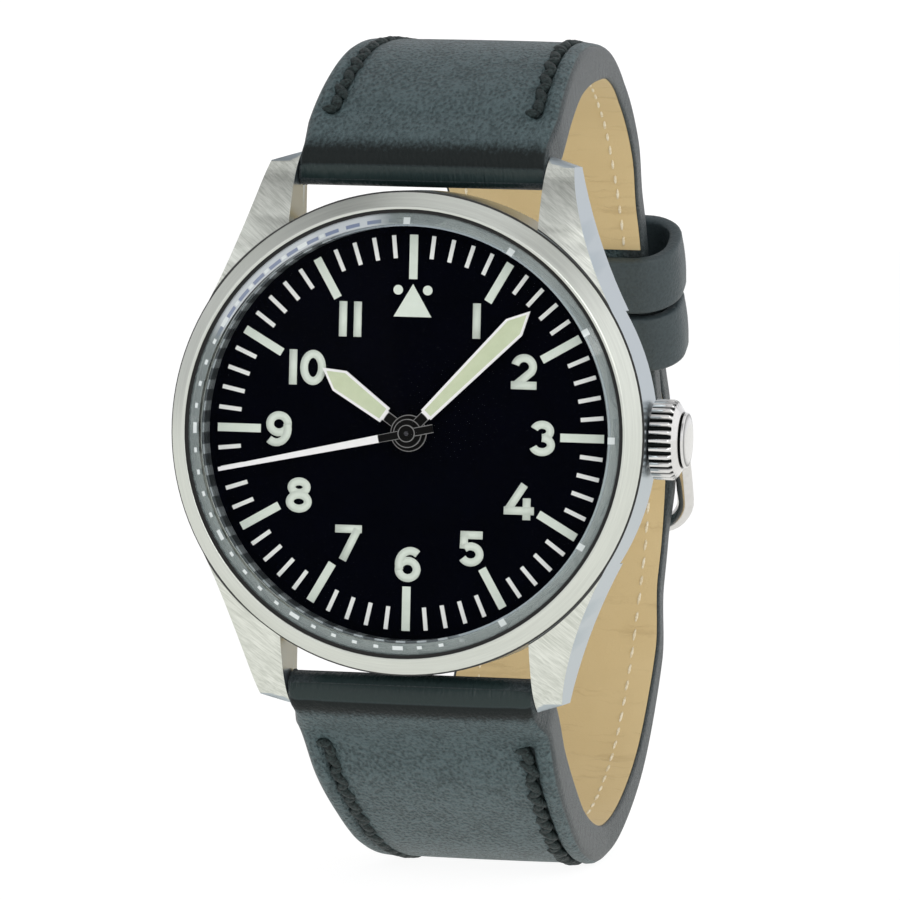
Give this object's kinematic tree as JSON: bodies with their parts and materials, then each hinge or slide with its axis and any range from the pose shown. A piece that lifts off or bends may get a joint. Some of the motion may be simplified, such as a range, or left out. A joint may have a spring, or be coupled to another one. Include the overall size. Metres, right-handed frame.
{
  "type": "pilot watch",
  "caption": "Round steel pilot wristwatch with fluted crown, sword hands and an opened-out movement, on a buckled leather strap with keepers.",
  "frame": {"origin": "centre of the case back's outer face, on the axis of the case", "axes": "+X towards 3 o'clock and the crown, +Z towards 12 o'clock, -Y out of the dial towards the eye and +Y into the wrist; metres"},
  "size_m": [0.0451, 0.0776, 0.0747],
  "materials": {
    "case_steel": "fine brushed, polished sides",
    "polished_steel": "polished",
    "buckle_steel": "satin",
    "crystal_glass": "clear, polished",
    "seal_rubber": "matt",
    "dial_black": "matt",
    "lume_mint": "matt, chalky",
    "print_white": "matt",
    "hand_white": "satin",
    "movement_plate": "rhodium plated, fine brushed",
    "wheel_brass": "polished",
    "wheel_steel": "fine ground",
    "rotor_steel": "fine brushed",
    "ring_plastic": "matt",
    "strap_leather": "fine grain, semi-gloss",
    "lining_leather": "matt"
  },
  "bodies": {
    "case": {"mid_case": "case_steel", "case_back": "case_steel", "back_gasket": "seal_rubber", "bezel": "case_steel", "crystal": "crystal_glass", "crystal_gasket": "seal_rubber", "rehaut": "polished_steel", "dial": "dial_black", "hour_marks": "lume_mint", "minute_track": "print_white", "main_plate": "movement_plate", "barrel_bridge": "movement_plate", "train_bridge": "movement_plate", "balance_cock": "movement_plate", "rotor_bearing": "movement_plate", "movement_ring": "ring_plastic", "crown_tube": "polished_steel", "spring_bar_upper": "polished_steel", "spring_bar_lower": "polished_steel", "strap_upper_leather": "strap_leather", "strap_upper_lining": "lining_leather", "strap_lower_leather": "strap_leather", "strap_lower_lining": "lining_leather", "keeper_fixed": "strap_leather", "buckle_spring_bar": "polished_steel"},
    "seconds": {"second_hand": "hand_white", "fourth_wheel": "wheel_brass"},
    "minutes": {"minute_hand": "hand_white", "minute_hand_lume": "lume_mint", "cannon_pinion": "wheel_brass", "centre_wheel": "wheel_brass"},
    "hours": {"hour_hand": "hand_white", "hour_hand_lume": "lume_mint", "hour_wheel": "wheel_brass"},
    "third": {"third_wheel": "wheel_brass"},
    "escape": {"escape_wheel": "wheel_steel"},
    "minute_wheel": {"minute_wheel": "wheel_brass"},
    "barrel": {"mainspring_barrel": "wheel_brass"},
    "balance": {"balance_wheel": "wheel_brass"},
    "rotor": {"rotor": "rotor_steel"},
    "winding_pinion": {"winding_pinion": "wheel_steel"},
    "crown": {"crown": "case_steel", "winding_stem": "polished_steel", "crown_gasket": "seal_rubber"},
    "sliding_keeper": {"keeper_sliding": "strap_leather"},
    "buckle_frame": {"buckle_frame": "buckle_steel"},
    "buckle_tongue": {"buckle_tongue": "buckle_steel"}
  },
  "joints": [
    {"name": "seconds_turn", "type": "hinge", "parent": "case", "child": "seconds", "pos_m": [0, 0, 0], "axis": [0, 1, 0], "continuous": true},
    {"name": "minutes_turn", "type": "hinge", "parent": "case", "child": "minutes", "pos_m": [0, 0, 0], "axis": [0, 1, 0], "continuous": true},
    {"name": "hours_turn", "type": "hinge", "parent": "case", "child": "hours", "pos_m": [0, 0, 0], "axis": [0, 1, 0], "continuous": true},
    {"name": "third_wheel_turn", "type": "hinge", "parent": "case", "child": "third", "pos_m": [0.00263, 0, -0.00263], "axis": [0, 1, 0], "continuous": true},
    {"name": "escape_wheel_turn", "type": "hinge", "parent": "case", "child": "escape", "pos_m": [-0.00264, 0, -0.00264], "axis": [0, 1, 0], "continuous": true},
    {"name": "minute_wheel_turn", "type": "hinge", "parent": "case", "child": "minute_wheel", "pos_m": [0.0018, 0, 0.00312], "axis": [0, 1, 0], "continuous": true},
    {"name": "barrel_turn", "type": "hinge", "parent": "case", "child": "barrel", "pos_m": [-0.00309, 0, 0.00535], "axis": [0, 1, 0], "continuous": true},
    {"name": "balance_swing", "type": "hinge", "parent": "case", "child": "balance", "pos_m": [-0.0041, 0, -0.0071], "axis": [0, 1, 0], "range_deg": [-270, 270], "stiffness_Nm_per_rad": 0.0000004},
    {"name": "rotor_turn", "type": "hinge", "parent": "case", "child": "rotor", "pos_m": [0, 0, 0], "axis": [0, 1, 0], "continuous": true},
    {"name": "crown_turn", "type": "hinge", "parent": "case", "child": "winding_pinion", "pos_m": [0.0092, -0.004, 0], "axis": [1, 0, 0], "continuous": true},
    {"name": "crown_pull", "type": "slide", "parent": "winding_pinion", "child": "crown", "axis": [1, 0, 0], "range_m": [0, 0.0012]},
    {"name": "keeper_slide", "type": "slide", "parent": "case", "child": "sliding_keeper", "axis": [0, -0.5, 0.866], "range_m": [-0.0006, 0.004]},
    {"name": "buckle_frame_swing", "type": "hinge", "parent": "case", "child": "buckle_frame", "pos_m": [0, 0.0592, -0.0015], "axis": [1, 0, 0], "range_deg": [0, 6]},
    {"name": "buckle_tongue_swing", "type": "hinge", "parent": "buckle_frame", "child": "buckle_tongue", "pos_m": [0, 0.0592, -0.0015], "axis": [1, 0, 0], "range_deg": [0, 8]}
  ],
  "couplings": [
    {"joint": "minutes_turn", "follows": "seconds_turn", "ratio": 0.016667},
    {"joint": "hours_turn", "follows": "seconds_turn", "ratio": 0.0013889},
    {"joint": "third_wheel_turn", "follows": "seconds_turn", "ratio": -0.13333},
    {"joint": "escape_wheel_turn", "follows": "seconds_turn", "ratio": -10},
    {"joint": "minute_wheel_turn", "follows": "seconds_turn", "ratio": -0.0055556},
    {"joint": "barrel_turn", "follows": "seconds_turn", "ratio": -0.0027778}
  ]
}
